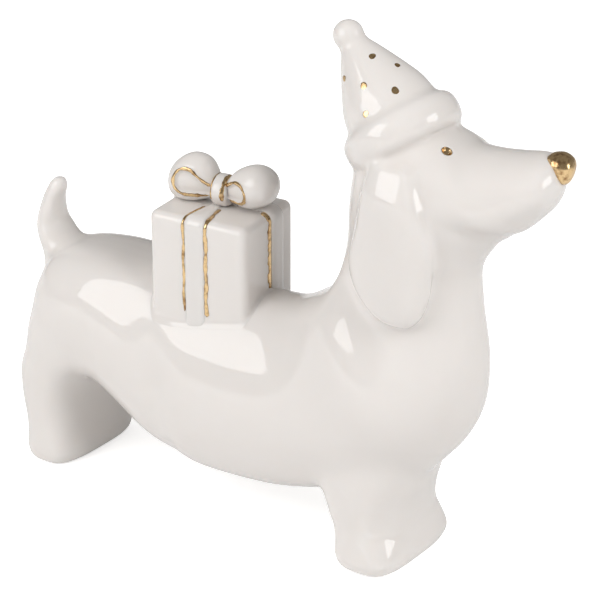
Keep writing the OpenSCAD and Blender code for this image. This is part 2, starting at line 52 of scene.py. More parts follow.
leg_spacing = 97
rear_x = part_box("tail")[0][0] / mm + tail_reach
front_x = rear_x + leg_spacing
middle_x = (rear_x + front_x) / 2
neck_x = front_x + 5.5
nape_x = neck_x - 15
throat_x = neck_x + 15
muzzle_x = neck_x + 34
back_z = 58
belly_z = 8
seat_z = back_z + 24
skull_z = seat_z + 29
rump_half = 16.2
haunch_half = 17
waist_half = 18
chest_half = 17.5
neck_half = 15
skull_half = 15
muzzle_half = 9.5
head_turn = radians(12)

# Back x, back z, belly x, belly z, half width, fullness of the back, slope of the flanks,
# share of the head's turn
body_rows = [
    (rear_x - 6.2, back_z - 13, rear_x - 6.9, back_z - 17, 3, 0, 0, 0),
    (rear_x - 4.5, back_z - 7.6, rear_x - 6.7, back_z - 24, rump_half - 7, 0.1, 0, 0),
    (rear_x - 1, back_z - 2.4, rear_x - 3.2, back_z - 31, rump_half - 3, 0.2, 0, 0),
    (rear_x + 3.5, back_z - 0.2, rear_x + 4, belly_z + 15, rump_half, 0.27, 0, 0),
    (rear_x + 15, back_z + 1.2, rear_x + 16, belly_z + 13.4, haunch_half + 0.2, 0.34, 0, 0),
    (middle_x - 20, back_z + 0.8, middle_x - 18, belly_z + 4.1, haunch_half + 0.5, 0.37, 0, 0),
    (middle_x - 11, back_z + 0.2, middle_x - 9.5, belly_z + 1.6, haunch_half, 0.3, 0.08, 0),
    (middle_x - 3, back_z - 0.2, middle_x - 1, belly_z + 0.2, waist_half - 0.2, 0.2, 0.19, 0),
    (middle_x + 14, back_z + 0.2, middle_x + 18, belly_z + 1.5, waist_half, 0.2, 0.2, 0),
    (front_x - 27, back_z + 1.2, front_x - 14, belly_z + 5.6, waist_half, 0.2, 0.2, 0),
    (front_x - 20.8, back_z + 4.5, front_x + 2, belly_z + 10, chest_half + 0.8, 0.24, 0.15, 0),
    (nape_x - 5.2, back_z + 9.2, front_x + 14.6, belly_z + 21, chest_half + 1, 0.36, 0.1, 0),
    (nape_x - 2.5, back_z + 14, throat_x + 1.7, belly_z + 33, chest_half - 1.8, 0.36, 0.05, 0),
    (nape_x - 1.7, seat_z - 4.5, throat_x + 3.4, belly_z + 45, neck_half - 1.3, 0.18, 0, 0),
    (nape_x - 1.2, seat_z + 1, throat_x + 1.4, seat_z - 17, neck_half - 1.6, 0, 0, 0.3),
    (nape_x - 0.6, seat_z + 7, throat_x + 0.2, seat_z - 7.6, neck_half - 1, 0, 0, 0.7),
    (nape_x + 0.2, seat_z + 13, throat_x + 1, seat_z - 3.2, neck_half, 0, 0, 1),
    (nape_x + 1.6, seat_z + 20, throat_x + 2.6, seat_z - 0.4, skull_half, 0, 0, 1),
    (nape_x + 6.5, skull_z - 3, throat_x + 4.1, seat_z + 1.8, skull_half, 0, 0, 1),
    (nape_x + 14, skull_z - 0.2, throat_x + 5.7, seat_z + 3.4, skull_half - 0.4, 0, 0, 1),
    (nape_x + 22, skull_z - 2.1, throat_x + 7.5, seat_z + 4.3, skull_half - 1.2, 0, 0, 1),
    (nape_x + 27, seat_z + 24.4, throat_x + 9.4, seat_z + 5.4, muzzle_half + 3.1, 0, 0, 1),
    (muzzle_x - 16.4, seat_z + 23.9, muzzle_x - 7.4, seat_z + 7.2, muzzle_half + 1.8, 0, 0, 1),
    (muzzle_x - 11, seat_z + 24.1, muzzle_x - 4.2, seat_z + 10.3, muzzle_half + 0.8, 0, 0, 1),
    (muzzle_x - 5.4, seat_z + 24.6, muzzle_x - 1.2, seat_z + 14, muzzle_half - 1, 0, 0, 1),
    (muzzle_x - 2, seat_z + 24, muzzle_x, seat_z + 18.6, muzzle_half - 5.1, 0, 0, 1),
]
casting_sides = 64


def drawn_through(rows, steps):
    """The rows, with more of them on a smooth curve between each and the next."""
    drawn = []
    last = len(rows) - 1
    for i in range(last):
        around = (rows[max(i - 1, 0)], rows[i], rows[i + 1], rows[min(i + 2, last)])
        for k in range(steps):
            t = k / steps
            drawn.append([
                b + ((c - a) * t + (2 * a - 5 * b + 4 * c - d) * t**2 + (3 * b - a - 3 * c + d) * t**3) / 2
                for a, b, c, d in zip(*around)
            ])
    return drawn + [list(rows[last])]


def turned(share):
    """The head's turn about the neck, or a share of it."""
    neck = Matrix.Translation((neck_x, 0, 0))
    return neck @ Matrix.Rotation(share * head_turn, 4, "Z") @ neck.inverted()


def edges_of(verts):
    """Every edge that meets one of the vertices."""
    return list({edge for vert in verts for edge in vert.link_edges})


def blunt(value, power):
    """A power that keeps the sign: below 1 it squares up a round outline."""
    return copysign(abs(value) ** power, value)


def oval_ring(bm, row, sides, place=Matrix(), fullness=0, slope=0):
    """Edges of an oval section: x and z of one end, x and z of the other, half width."""
    ends = Vector((row[0], 0, row[1])), Vector((row[2], 0, row[3]))
    long = (ends[0] - ends[1]) / 2
    wide = Vector((0, row[4], 0))
    stand = Matrix((long, wide, long.cross(wide).normalized())).transposed().to_4x4()
    stand.translation = (ends[0] + ends[1]) / 2
    ring = bmesh.ops.create_circle(bm, segments=sides, radius=1)["verts"]
    for vert in ring:
        rise = vert.co.x
        if rise > 0:
            vert.co.y = blunt(vert.co.y, 1 - fullness) * (1 - slope * rise)
        else:
            vert.co.y *= 1 - slope * rise * (1 + rise)
    bmesh.ops.transform(bm, matrix=place @ stand, verts=ring)
    return edges_of(ring)


def loft(bm, rings):
    """Closed skin over rings of edges."""
    for ring, following in zip(rings, rings[1:]):
        bmesh.ops.bridge_loops(bm, edges=ring + following)
    for end in (rings[0], rings[-1]):
        bmesh.ops.contextual_create(bm, geom=end)
    bmesh.ops.recalc_face_normals(bm, faces=bm.faces)


body = bmesh.new()
loft(body, [
    oval_ring(body, row, casting_sides, turned(row[7]), fullness=row[5], slope=row[6])
    for row in drawn_through(body_rows, steps=6)
])


# Leg blocks: the two front legs and the two rear legs are each one hollow cup, cast apart and stuck
# under the body with slip. The feet are blunt and round off to a flat sole.
foot_half = 7.75
stance_half = 15.5
toe_z = 4

# Shift ahead of the block's centre, height, half length, half width, roundness of the corners
front_leg_rows = [
    (-0.1, 0, foot_half - 1.6, stance_half - 2.2, 0.62),
    (-0.1, 0.7, foot_half - 0.1, stance_half - 0.8, 0.6),
    (-0.1, 2, foot_half + 0.7, stance_half, 0.57),
    (0, toe_z, foot_half + 1.2, stance_half + 0.3, 0.55),
    (-0.8, toe_z + 3.5, foot_half + 1, stance_half, 0.65),
    (-2.1, toe_z + 7, foot_half + 1.2, stance_half - 0.3, 0.75),
    (-3.2, toe_z + 12, foot_half + 2.7, stance_half + 0.2, 0.78),
    (-2.8, toe_z + 18, foot_half + 4.3, stance_half + 0.5, 0.8),
    (0, toe_z + 26, foot_half + 3.5, stance_half - 0.6, 0.8),
]
rear_leg_rows = [
    (0.5, 0, foot_half - 2.4, stance_half - 2, 0.64),
    (0.5, 0.7, foot_half - 1, stance_half - 0.7, 0.62),
    (0.4, 2, foot_half - 0.2, stance_half, 0.6),
    (0.3, toe_z, foot_half + 0.2, stance_half + 0.3, 0.6),
    (-0.1, toe_z + 4, foot_half, stance_half + 0.1, 0.68),
    (-0.7, toe_z + 8, foot_half + 0.2, stance_half, 0.75),
    (-1.2, toe_z + 14, foot_half + 0.9, stance_half + 0.2, 0.77),
    (0, toe_z + 21, foot_half + 2.4, stance_half + 0.5, 0.76),
    (4, toe_z + 27, foot_half + 4.8, stance_half + 0.8, 0.72),
    (6, toe_z + 34, foot_half + 6.2, stance_half + 0.4, 0.72),
    (7, toe_z + 41, foot_half + 5, stance_half - 3, 0.72),
]


def foot_ring(bm, x, row):
    """Edges of a blunt-cornered section through a leg block at one height."""
    ring = bmesh.ops.create_circle(bm, segments=casting_sides, radius=1)["verts"]
    for vert in ring:
        ahead = row[2] * blunt(vert.co.x, row[4])
        aside = row[3] * blunt(vert.co.y, row[4])
        vert.co = x + row[0] + ahead, aside, row[1]
    return edges_of(ring)


legs = bmesh.new()
for leg_x, leg_rows in ((front_x, front_leg_rows), (rear_x, rear_leg_rows)):
    loft(legs, [foot_ring(legs, leg_x, row) for row in drawn_through(leg_rows, steps=4)])


# Tail: a small solid porcelain casting, curled up to a blunt point. It is stuck on the rump with slip
# before the first firing.
tail_z = back_z + 15
tail_half = 6

# Rear x, rear z, front x, front z, half width
tail_rows = [
    (rear_x - 6.4, back_z - 10, rear_x + 3, back_z - 6, tail_half),
    (rear_x - 7.7, back_z - 4, rear_x + 0.2, back_z, tail_half),
    (rear_x - 9.4, tail_z - 13.5, rear_x - 3, tail_z - 11.4, tail_half - 1),
    (rear_x - 8.3, tail_z - 7.2, rear_x - 3, tail_z - 6.3, tail_half - 2.4),
    (rear_x - 6.3, tail_z - 2.4, rear_x - 1.6, tail_z - 2.6, tail_half - 3.5),
    (rear_x - 4.4, tail_z - 0.2, rear_x - 2, tail_z - 0.4, tail_half - 4.7),
]
tail = bmesh.new()
loft(tail, [oval_ring(tail, row, casting_sides) for row in drawn_through(tail_rows, steps=6)])


# Ears: two flat slabs of slip pressed against the sides of the head, hanging down to the chest.
# Their faces follow the neck, and their edges stand up from it by about two millimetres.
ear_root_z = seat_z + 22
ear_length = 37
ear_half = 9.7
ear_thick = 3
ear_wrap = 2.3
ear_crown = 3.8
ear_bluntness = 0.6

# Place ahead of the neck's centre, y, drop below the root, half width, half thickness
ear_rows = [
    (-1, -13.6, 0, ear_half - 4.2, ear_thick - 1.2),
    (-0.8, -15.6, 0.18 * ear_length, ear_half - 2.3, ear_thick),
    (-0.4, -15.8, 0.43 * ear_length, ear_half - 0.1, ear_thick),
    (-1.4, -15.5, 0.65 * ear_length, ear_half + 0.8, ear_thick),
    (-1, -15.3, 0.81 * ear_length, ear_half - 0.2, ear_thick),
    (0.2, -15.2, 0.93 * ear_length, ear_half - 3, ear_thick - 0.4),
    (1, -15.1, ear_length, ear_half - 6.2, ear_thick - 1.6),
]


def ear_ring(bm, row):
    """Edges of a section through the right ear at one height, wrapped towards the neck."""
    ring = bmesh.ops.create_circle(bm, segments=casting_sides, radius=1)["verts"]
    for vert in ring:
        ahead = row[3] * blunt(vert.co.x, ear_bluntness)
        aside = row[4] * blunt(vert.co.y, ear_bluntness) + ear_wrap * ((ahead - ear_crown) / ear_half) ** 2
        vert.co = turned(1) @ Vector((neck_x + row[0] + ahead, row[1] + aside, ear_root_z - row[2]))
    return edges_of(ring)


ears = bmesh.new()
loft(ears, [ear_ring(ears, row) for row in drawn_through(ear_rows, steps=5)])
bmesh.ops.transform(ears, matrix=turned(-1), verts=ears.verts)
bmesh.ops.mirror(ears, geom=ears.verts[:] + ears.edges[:] + ears.faces[:], axis="Y", merge_dist=0)
bmesh.ops.transform(ears, matrix=turned(1), verts=ears.verts)
bmesh.ops.recalc_face_normals(ears, faces=ears.faces)


# Party hat: a hollow cast cone with a ball on its tip, in a thick rolled brim, set on the skull and
# leaning back. Each piece is turned on the hat's own axis, and slip fills the creases between them.
hat_back = 3.4
hat_sink = 4.6
hat_lean = radians(-37)
hat_tilt = radians(-8)
hat_place = (
    turned(1)
    @ Matrix.Translation((neck_x - hat_back, 0, skull_z - hat_sink))
    @ Matrix.Rotation(hat_lean, 4, "Y")
    @ Matrix.Rotation(hat_tilt, 4, "X")
)
brim_radius = 10.4
brim_z = 0.8
roll_half_width = 3.4
roll_half_height = 4.3
roll_bluntness = 0.82
roll_sides = 36
brim_dip = radians(-4)
cone_length = 23.2
cone_half = 11
tip_half = 3.2
ball_radius = 3.6
ball_z = cone_length + 0.6 * ball_radius
hat_sides = 96


def turned_piece(profile, sides, closed=False):
    """Shape turned about the upright axis from points of radius and height."""
    bm = bmesh.new()
    points = [bm.verts.new((radius, 0, height)) for radius, height in profile]
    following = points[1:] + points[:1] if closed else points[1:]
    lines = [bm.edges.new(pair) for pair in zip(points, following)]
    bmesh.ops.spin(
        bm, geom=points + lines, axis=(0, 0, 1), cent=(0, 0, 0), angle=2 * pi, steps=sides, use_merge=True
    )
    bmesh.ops.remove_doubles(bm, verts=bm.verts, dist=0.001)
    bmesh.ops.recalc_face_normals(bm, faces=bm.faces)
    return bm


roll_turns = [2 * pi * k / roll_sides for k in range(roll_sides)]
brim = turned_piece([
    (
        brim_radius + roll_half_width * blunt(cos(t), roll_bluntness),
        brim_z + roll_half_height * blunt(sin(t), roll_bluntness),
    )
    for t in roll_turns
], hat_sides, closed=True)
bmesh.ops.rotate(brim, verts=brim.verts, cent=(0, 0, 0), matrix=Matrix.Rotation(brim_dip, 3, "X"))

# Radius, height
cone_rows = [
    (cone_half, 0),
    (cone_half, 0.18 * cone_length),
    (cone_half - 0.9, 0.4 * cone_length),
    (cone_half - 2.3, 0.55 * cone_length),
    (tip_half + 3.8, 0.7 * cone_length),
    (tip_half + 2, 0.85 * cone_length),
    (tip_half, cone_length),
]
cone = turned_piece([(0, 0)] + drawn_through(cone_rows, steps=8) + [(0, cone_length)], hat_sides)
ball = bmesh.new()
bmesh.ops.create_uvsphere(
    ball, u_segments=48, v_segments=32, radius=ball_radius, matrix=Matrix.Translation((0, 0, ball_z))
)
for hat_part in (brim, cone, ball):
    bmesh.ops.transform(hat_part, matrix=hat_place, verts=hat_part.verts)


# Glazed skin: body, legs, tail, ears and hat are luted with slip and fired together under one clear
# glaze. It fills the joints, so they show only as soft hollows. Drain and air holes are open underneath.
skin_grain = 0.64
hole_depth = 5
drain_radius = 3
air_radius = 1.5
hand_wave = 0.1
hand_wave_length = 22


def fused(castings, grain):
    """One closed skin round castings that run into each other."""
    joined = bmesh.new()
    for casting in castings:
        part_mesh = bpy.data.meshes.new("casting")
        casting.to_mesh(part_mesh)
        joined.from_mesh(part_mesh)
        bpy.data.meshes.remove(part_mesh)
    mesh = bpy.data.meshes.new("castings")
    joined.to_mesh(mesh)
    joined.free()
    holder = bpy.data.objects.new("castings", mesh)
    bpy.context.collection.objects.link(holder)
    remesh = holder.modifiers.new("one skin", "REMESH")
    remesh.mode = "VOXEL"
    remesh.voxel_size = grain
    skin = bmesh.new()
    skin.from_object(holder, bpy.context.evaluated_depsgraph_get())
    bpy.data.objects.remove(holder)
    bpy.data.meshes.remove(mesh)
    return skin


def smoothed(bm, verts, passes):
    """Wipes vertices towards the middle of their neighbours, as a damp sponge does."""
    for _ in range(passes):
        bmesh.ops.smooth_vert(bm, verts=verts, factor=0.5, use_axis_x=True, use_axis_y=True, use_axis_z=True)


def seam(bm, first, second, reach):
    """Vertices that lie close to both of two castings."""
    trees = BVHTree.FromBMesh(first), BVHTree.FromBMesh(second)
    return [v for v in bm.verts if all(tree.find_nearest(v.co, reach)[0] for tree in trees)]


def rolled(bm, verts, depth, length):
    """Gives vertices the slight unevenness of hand work."""
    bm.normal_update()
    for vert in verts:
        vert.co += vert.normal * depth * noise.noise(vert.co / length)


skin = fused([body, legs, tail, ears, brim, cone, ball], skin_grain)

# Two castings, how far the slip between them reaches, how often it is wiped
for first, second, reach, passes in (
    (body, legs, 6, 50), (body, tail, 4.5, 34), (body, ears, 2.2, 20), (body, brim, 1.8, 3),
    (ears, brim, 1.8, 3), (brim, cone, 1.8, 4), (cone, ball, 1.8, 5),
):
    smoothed(skin, seam(skin, first, second, reach), passes)
smoothed(skin, [v for v in skin.verts if v.co.z > toe_z / 2], passes=4)
rolled(skin, [v for v in skin.verts if v.co.z > toe_z], hand_wave, hand_wave_length)

# A shallow fold under each cheek parts the jaw from the neck: place ahead of the neck, height above the seat
fold_path = [Vector(spot) for spot in ((9.5, 10), (13, 8.7), (16.4, 7.6), (21, 7), (24, 5.5))]
fold_depth = 0.6
fold_half = 2.2
fold_fade = 5


def from_fold(spot, path):
    """Distance of a spot from a fold's path."""
    gaps = []
    for first, last in zip(path, path[1:]):
        share = (spot - first).dot(last - first) / (last - first).length_squared
        gaps.append((spot - first.lerp(last, max(0, min(1, share)))).length)
    return min(gaps)


skin.normal_update()
for vert in skin.verts:
    unturned = turned(-1) @ vert.co
    spot = Vector((unturned.x - neck_x, unturned.z - seat_z))
    if spot.x > fold_path[0].x:
        begun = min(1, (spot.x - fold_path[0].x) / fold_fade)
        vert.co -= vert.normal * fold_depth * begun * exp(-((from_fold(spot, fold_path) / fold_half) ** 2))

# A softer fold runs down each flank in front of the haunch: place ahead of the middle, height above the back
flank_path = [Vector(spot) for spot in ((-21, -3), (-15, -14), (-12.5, -24))]
flank_depth = 1.1
flank_half = 6
flank_fade = 8


def eased(share):
    """A share from 0 to 1, with a soft start and end."""
    share = max(0, min(1, share))
    return share**2 * (3 - 2 * share)


skin.normal_update()
for vert in skin.verts:
    spot = Vector((vert.co.x - middle_x, vert.co.z - back_z))
    begun = eased(-spot.y / flank_fade)
    vert.co -= vert.normal * flank_depth * begun * exp(-((from_fold(spot, flank_path) / flank_half) ** 2))

# Eyes are pressed in before firing: a round pit on each side of the forehead
eye_radius = 1.25
eye_depth = 0.9
pit_floor = 0.45
pit_rim = 1.6
pit_cuts = 2
eye_probe = 4
outward_from_eye = {
    "eye_right": turned(1).to_3x3() @ Vector((0.3, -0.64, 0.71)),
    "eye_left": turned(1).to_3x3() @ Vector((0.3, 0.85, 0.42)),
}


def pit(aside):
    """Depth of an eye's pit at a distance from its axis."""
    return eye_depth * eased((pit_rim - aside) / (pit_rim - pit_floor))


skin_tree = BVHTree.FromBMesh(skin)
eye_place = {}
eye_axis = {}
for eye, outward in outward_from_eye.items():
    low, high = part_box(eye)
    middle = (Vector(low) + Vector(high)) / 2 / mm
    start = middle + eye_probe * outward.normalized()
    eye_place[eye], eye_axis[eye] = skin_tree.ray_cast(start, -outward)[:2]
    for _ in range(pit_cuts):
        around = [v for v in skin.verts if (v.co - eye_place[eye]).length < pit_rim + skin_grain]
        bmesh.ops.subdivide_edges(skin, edges=edges_of(around), cuts=1, use_grid_fill=True)
    for vert in skin.verts:
        away = vert.co - eye_place[eye]
        if away.length < 2 * pit_rim:
            aside = away - away.dot(eye_axis[eye]) * eye_axis[eye]
            vert.co -= eye_axis[eye] * pit(aside.length)


def node_group(name, inputs, outputs):
    """Empty node group, with its inputs and outputs given as names and kinds of socket."""
    group = bpy.data.node_groups.new(name, "ShaderNodeTree")
    for way, sockets in (("INPUT", inputs), ("OUTPUT", outputs)):
        for socket, kind in sockets.items():
            group.interface.new_socket(socket, in_out=way, socket_type="NodeSocket" + kind)
    return group, group.nodes.new("NodeGroupInput").outputs, group.nodes.new("NodeGroupOutput").inputs


def mottled(tree, point, scale, detail):
    """Noise, read at a point."""
    texture = tree.nodes.new("ShaderNodeTexNoise")
    texture.inputs["Scale"].default_value = scale
    texture.inputs["Detail"].default_value = detail
    tree.links.new(point, texture.inputs["Vector"])
    return texture.outputs["Fac"]


def stretched(tree, value, before=(0, 1), after=(0, 1)):
    """A value whose range before is stretched to the range after."""
    stretch = tree.nodes.new("ShaderNodeMapRange")
    for socket, limit in zip(("From Min", "From Max", "To Min", "To Max"), (*before, *after)):
        stretch.inputs[socket].default_value = limit
    tree.links.new(value, stretch.inputs["Value"])
    return stretch.outputs["Result"]


def worked_out(tree, operation, *terms, clamp=False):
    """Result of a math node on numbers and sockets."""
    node = tree.nodes.new("ShaderNodeMath")
    node.operation = operation
    node.use_clamp = clamp
    for socket, term in zip(node.inputs, terms):
        if isinstance(term, bpy.types.NodeSocket):
            tree.links.new(term, socket)
        else:
            socket.default_value = term
    return node.outputs[0]


def blended(tree, share, first, second):
    """Colour that runs from a first to a second by a share."""
    mix = tree.nodes.new("ShaderNodeMix")
    mix.data_type = "RGBA"
    tree.links.new(share, mix.inputs["Factor"])
    tree.links.new(first, mix.inputs["A"])
    tree.links.new(second, mix.inputs["B"])
    return mix.outputs["Result"]


def rippled(tree, height, strength, distance):
    """Bumps a material's surface by a height."""
    bump = tree.nodes.new("ShaderNodeBump")
    bump.inputs["Strength"].default_value = strength
    bump.inputs["Distance"].default_value = distance
    tree.links.new(height, bump.inputs["Height"])
    tree.links.new(bump.outputs["Normal"], tree.nodes["Principled BSDF"].inputs["Normal"])


def glaze_flow_and_shade():
    """Node group: a clear glaze runs thin over edges and pools in hollows, and is never quite level. Its
    colour is darker in hollows and creases, which is painted shade as well as the glaze's pooling.
    """
    group, given, result = node_group(
        "glaze_flow_and_shade",
        {"Point": "Vector", "Edge": "Float", "Pooled_And_Shaded": "Color", "Thin": "Color"},
        {"Colour": "Color", "Roughness": "Float", "Ripple": "Float"},
    )
    cloud = mottled(group, given["Point"], scale=60, detail=3)
    fine = mottled(group, given["Point"], scale=420, detail=2)
    ripple = mottled(group, given["Point"], scale=150, detail=1)
    cloudiness = 0.45
    # Low on flat ground and in hollows, high on convex edges: the darker pooled colour in hollows and
    # creases is painted shade.
    thinness_and_shade_share = worked_out(group, "MULTIPLY_ADD", cloud, cloudiness, given["Edge"], clamp=True)
    group.links.new(blended(group, thinness_and_shade_share, given["Pooled_And_Shaded"], given["Thin"]), result["Colour"])
    group.links.new(stretched(group, fine, after=(0.02, 0.06)), result["Roughness"])
    group.links.new(ripple, result["Ripple"])
    return group


def glazed_porcelain(pooled_and_shaded, thin):
    """White porcelain under clear glaze, with bare porcelain on the soles."""
    material = bpy.data.materials.new("glazed_porcelain")
    material.use_nodes = True
    tree = material.node_tree
    nodes, links = tree.nodes, tree.links
    shader = nodes["Principled BSDF"]
    shader.inputs["IOR"].default_value = 1.52
    shader.inputs["Subsurface Weight"].default_value = 0.15
    shader.inputs["Subsurface Radius"].default_value = (1.0, 0.8, 0.65)
    shader.inputs["Subsurface Scale"].default_value = 1.5 * mm
    point = nodes.new("ShaderNodeTexCoord").outputs["Object"]
    form = nodes.new("ShaderNodeNewGeometry")
    edge = stretched(tree, form.outputs["Pointiness"], before=(0.48, 0.58))
    # The glaze's colour is darker in hollows and creases, which is painted shade together with its pooling
    # there, and whiter over edges.
    flow = nodes.new("ShaderNodeGroup")
    flow.node_tree = glaze_flow_and_shade()
    flow.inputs["Pooled_And_Shaded"].default_value = (*pooled_and_shaded, 1)
    flow.inputs["Thin"].default_value = (*thin, 1)
    height = nodes.new("ShaderNodeSeparateXYZ")
    glaze_line = 0.9 * mm, 0.5 * mm
    bare = stretched(tree, height.outputs["Z"], before=glaze_line)
    bare_roughness = 0.75
    dryness = nodes.new("ShaderNodeMix")
    dryness.inputs["B"].default_value = bare_roughness
    links.new(point, flow.inputs["Point"])
    links.new(edge, flow.inputs["Edge"])
    links.new(point, height.inputs[0])
    links.new(bare, dryness.inputs["Factor"])
    links.new(flow.outputs["Roughness"], dryness.inputs["A"])
    links.new(flow.outputs["Colour"], shader.inputs["Base Color"])
    links.new(dryness.outputs["Result"], shader.inputs["Roughness"])
    rippled(tree, flow.outputs["Ripple"], strength=0.25, distance=0.05 * mm)
    return material


def hand_over(bm, name, material, slot, *nodes):
    """Turns millimetres into metres and gives the finished piece to the frame."""
    bmesh.ops.recalc_face_normals(bm, faces=bm.faces)
    bmesh.ops.scale(bm, vec=(mm, mm, mm), verts=bm.verts)
    mesh = bpy.data.meshes.new(name)
    bm.to_mesh(mesh)
    bm.free()
    mesh.shade_smooth()
    mesh.materials.append(material)
    piece = bpy.data.objects.new(name, mesh)
    bpy.context.collection.objects.link(piece)
    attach(piece, "root")
    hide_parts(*nodes)
    return piece


def bored(piece, cutter):
    """Cuts a closed shape, given in millimetres, out of a finished piece."""
    bmesh.ops.scale(cutter, vec=(mm, mm, mm), verts=cutter.verts)
    mesh = bpy.data.meshes.new("cutter")
    cutter.to_mesh(mesh)
    cutter.free()
    holder = bpy.data.objects.new("cutter", mesh)
    bpy.context.collection.objects.link(holder)
    cut = piece.modifiers.new("holes", "BOOLEAN")
    cut.object = holder
    cut.solver = "EXACT"
    whole = piece.evaluated_get(bpy.context.evaluated_depsgraph_get())
    piece.data = bpy.data.meshes.new_from_object(whole)
    piece.modifiers.clear()
    bpy.data.objects.remove(holder)
    bpy.data.meshes.remove(mesh)


# The darker, warmer pooled colour lies in hollows and creases as painted shade. The thin colour is whiter
# over edges.
porcelain = glazed_porcelain(pooled_and_shaded=(0.79, 0.749, 0.715), thin=(0.845, 0.815, 0.792))
skin_tree = BVHTree.FromBMesh(skin)
glazed_skin = hand_over(
    skin, "glazed_skin", porcelain, "porcelain",
    "trunk", "head", "front_legs", "rear_legs", "tail", "ear_right", "ear_left",
    "hat_brim", "hat_cone", "hat_pompom",
)
holes = bmesh.new()
for hole_x, hole_z, radius in (
    (middle_x, belly_z, drain_radius), (front_x, 0, air_radius), (rear_x, 0, air_radius),
):
    bmesh.ops.create_cone(
        holes, cap_ends=True, segments=32, radius1=radius, radius2=radius, depth=2 * hole_depth,
        matrix=Matrix.Translation((hole_x, 0, hole_z)),
    )
bored(glazed_skin, holes)


# Nose: the tip of the muzzle is a drop-shaped button, brushed with bright gold lustre after the glaze
# firing. It is broad above and runs down to a point.
nose_z = seat_z + 18
nose_height = 7.8
nose_taper = 0.26
nose_sides = 48

# Top x, top z, bottom x, bottom z, half width
nose_rows = [
    (muzzle_x - 4, nose_z + nose_height - 1.2, muzzle_x - 1.6, nose_z + 1.6, 2.8),
    (muzzle_x - 2.8, nose_z + nose_height - 0.3, muzzle_x - 0.3, nose_z + 0.6, 3.7),
    (muzzle_x - 0.6, nose_z + nose_height, muzzle_x + 0.9, nose_z + 1, 3.8),
    (muzzle_x + 1.3, nose_z + nose_height - 1, muzzle_x + 1.8, nose_z + 2.5, 2.9),
    (muzzle_x + 2.1, nose_z + nose_height - 2.6, muzzle_x + 2.2, nose_z + 4.2, 1.1),
]


def nose_ring(bm, row):
    """Edges of a section through the nose, drawn in towards its lower end."""
    ring = bmesh.ops.create_circle(bm, segments=nose_sides, radius=1)["verts"]
    for vert in ring:
        rise = (1 + vert.co.x) / 2
        top, bottom = Vector((row[0], 0, row[1])), Vector((row[2], 0, row[3]))
        across = row[4] * vert.co.y * (1 - nose_taper + nose_taper * rise)
        vert.co = turned(1) @ (bottom.lerp(top, rise) + Vector((0, across, 0)))
    return edges_of(ring)


def lustre_wear():
    """Node group: brushed-on gold is uneven, thinner and browner in streaks."""
    group, given, result = node_group(
        "lustre_wear",
        {"Point": "Vector", "Full": "Color", "Worn": "Color"},
        {"Colour": "Color", "Roughness": "Float", "Brush": "Float"},
    )
    streak = mottled(group, given["Point"], scale=700, detail=4)
    brush = mottled(group, given["Point"], scale=1500, detail=2)
    thin = stretched(group, streak, before=(0.48, 0.7))
    group.links.new(blended(group, thin, given["Full"], given["Worn"]), result["Colour"])
    group.links.new(stretched(group, brush, after=(0.14, 0.3)), result["Roughness"])
    group.links.new(brush, result["Brush"])
    return group


def gold_lustre(full, worn):
    """Bright gold fired on over the glaze."""
    material = bpy.data.materials.new("gold_lustre")
    material.use_nodes = True
    tree = material.node_tree
    shader = tree.nodes["Principled BSDF"]
    shader.inputs["Metallic"].default_value = 1
    point = tree.nodes.new("ShaderNodeTexCoord")
    wear = tree.nodes.new("ShaderNodeGroup")
    wear.node_tree = lustre_wear()
    wear.inputs["Full"].default_value = (*full, 1)
    wear.inputs["Worn"].default_value = (*worn, 1)
    tree.links.new(point.outputs["Object"], wear.inputs["Point"])
    tree.links.new(wear.outputs["Colour"], shader.inputs["Base Color"])
    tree.links.new(wear.outputs["Roughness"], shader.inputs["Roughness"])
    rippled(tree, wear.outputs["Brush"], strength=0.15, distance=0.03 * mm)
    return material


gold = gold_lustre(full=(0.75, 0.54, 0.29), worn=(0.32, 0.18, 0.08))
nose = bmesh.new()
loft(nose, [nose_ring(nose, row) for row in drawn_through(nose_rows, steps=6)])
hand_over(nose, "gold_nose", gold, "gold", "nose")


# Eyes: a drop of gold lustre lines each pit, as a thin bright bowl. It is dabbed in with the tip of a
# brush after the glaze firing, and fired on with the other gold.
bowl_film = 0.1
bowl_steps = 14
bowl_sides = 40


def standing(axis, foot):
    """Place of a piece that stands on a foot with its Z along an axis."""
    stand = axis.to_track_quat("Z", "Y").to_matrix().to_4x4()
    stand.translation = foot
    return stand


bowl_reaches = [eye_radius * step / bowl_steps for step in range(bowl_steps + 1)]
for eye, axis in eye_axis.items():
    bowl = turned_piece([(aside, 0.5 * bowl_film - pit(aside)) for aside in bowl_reaches], bowl_sides)
    bmesh.ops.solidify(bowl, geom=bowl.faces[:], thickness=bowl_film)
    bmesh.ops.transform(bowl, matrix=standing(axis, eye_place[eye]), verts=bowl.verts)
    hand_over(bowl, "gold_" + eye, gold, "gold", eye)


# Gold dots: single touches of a brush tip round the cone, fired on over the glaze. Each is a flat drop
# that is never quite round.
dot_radius = 0.85
dot_film = 0.06
dot_load = 0.92
dot_load_swing = 0.12
dot_oval = 0.07
dot_lobes = 0.05

